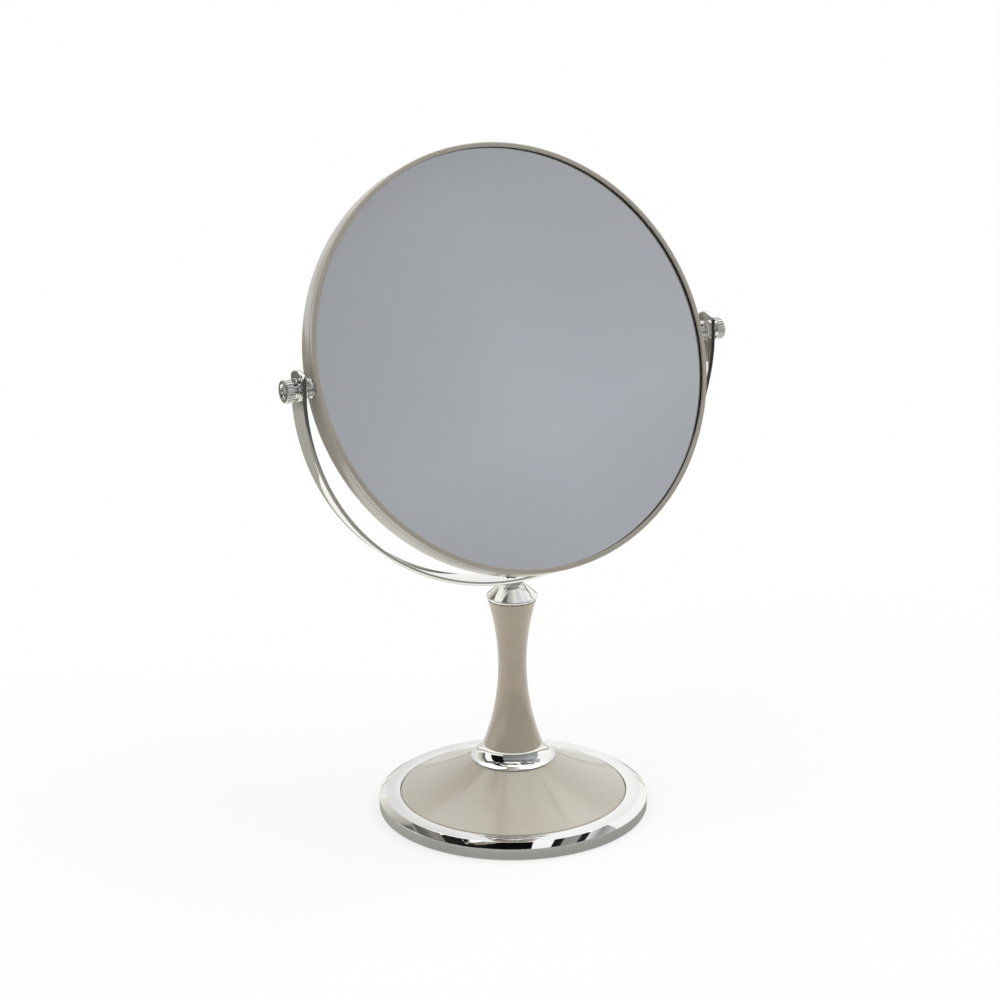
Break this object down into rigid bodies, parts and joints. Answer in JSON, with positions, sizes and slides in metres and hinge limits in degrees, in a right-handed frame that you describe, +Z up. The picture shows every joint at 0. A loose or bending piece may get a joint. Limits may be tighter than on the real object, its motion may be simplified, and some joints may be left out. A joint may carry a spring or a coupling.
{
  "type": "tabletop vanity mirror",
  "caption": "Round two-sided vanity mirror that tilts in a chrome yoke on a waisted cream pedestal with a weighted conical base.",
  "frame": {"origin": "centre of the base where it meets the table", "axes": "+Z up, +X along the tilting axis to the right-hand thumb screw, the plain mirror faces -Y and leans back at rest"},
  "size_m": [0.2362, 0.134, 0.3289],
  "materials": {
    "chrome_plate": "bright chrome plating",
    "cream_enamel": "satin cream enamel",
    "cast_ballast": "rough cast",
    "black_sheet": "black painted sheet",
    "soft_pad": "matte soft pad",
    "zinc_fastener": "zinc plated",
    "white_plastic": "moulded",
    "mirror_glass": "silvered glass",
    "foam": "closed-cell foam",
    "brass_insert": "turned",
    "nylon": "natural nylon"
  },
  "bodies": {
    "stand": {"base_ring": "chrome_plate", "base_cover": "cream_enamel", "base_weight": "cast_ballast", "base_bottom_plate": "black_sheet", "base_pad": "soft_pad", "base_screws": "zinc_fastener", "lower_collar": "chrome_plate", "column": "cream_enamel", "tie_rod": "zinc_fastener", "tie_rod_washer": "zinc_fastener", "tie_rod_nut": "zinc_fastener", "neck_ferrule": "chrome_plate", "yoke": "chrome_plate", "yoke_screw": "chrome_plate"},
    "mirror_head": {"front_bezel": "cream_enamel", "rear_bezel": "cream_enamel", "carrier_ring": "white_plastic", "front_glass": "mirror_glass", "rear_glass": "mirror_glass", "front_gasket": "foam", "rear_gasket": "foam", "foam_pad": "foam", "left_pivot_insert": "brass_insert", "left_spacer_bush": "chrome_plate", "left_friction_washer": "nylon", "right_pivot_insert": "brass_insert", "right_spacer_bush": "chrome_plate", "right_friction_washer": "nylon"},
    "left_washer": {"left_outer_washer": "chrome_plate"},
    "left_knob": {"left_thumb_screw": "chrome_plate"},
    "right_washer": {"right_outer_washer": "chrome_plate"},
    "right_knob": {"right_thumb_screw": "chrome_plate"}
  },
  "joints": [
    {"name": "mirror_tilt", "type": "hinge", "parent": "stand", "child": "mirror_head", "pos_m": [0, 0, 0.23099], "axis": [1, 0, 0], "continuous": true},
    {"name": "left_washer_slide", "type": "slide", "parent": "mirror_head", "child": "left_washer", "axis": [-1, 0, 0], "range_m": [0, 0.0014]},
    {"name": "left_knob_turn", "type": "hinge", "parent": "left_washer", "child": "left_knob", "pos_m": [-0.116, 0, 0.23099], "axis": [-1, 0, 0], "range_deg": [0, 721]},
    {"name": "right_washer_slide", "type": "slide", "parent": "mirror_head", "child": "right_washer", "axis": [1, 0, 0], "range_m": [0, 0.0014]},
    {"name": "right_knob_turn", "type": "hinge", "parent": "right_washer", "child": "right_knob", "pos_m": [0.116, 0, 0.23099], "axis": [1, 0, 0], "range_deg": [0, 721]}
  ],
  "couplings": [
    {"joint": "left_knob_turn", "follows": "left_washer_slide", "rad_per_m": 8976},
    {"joint": "right_knob_turn", "follows": "right_washer_slide", "rad_per_m": 8976}
  ]
}
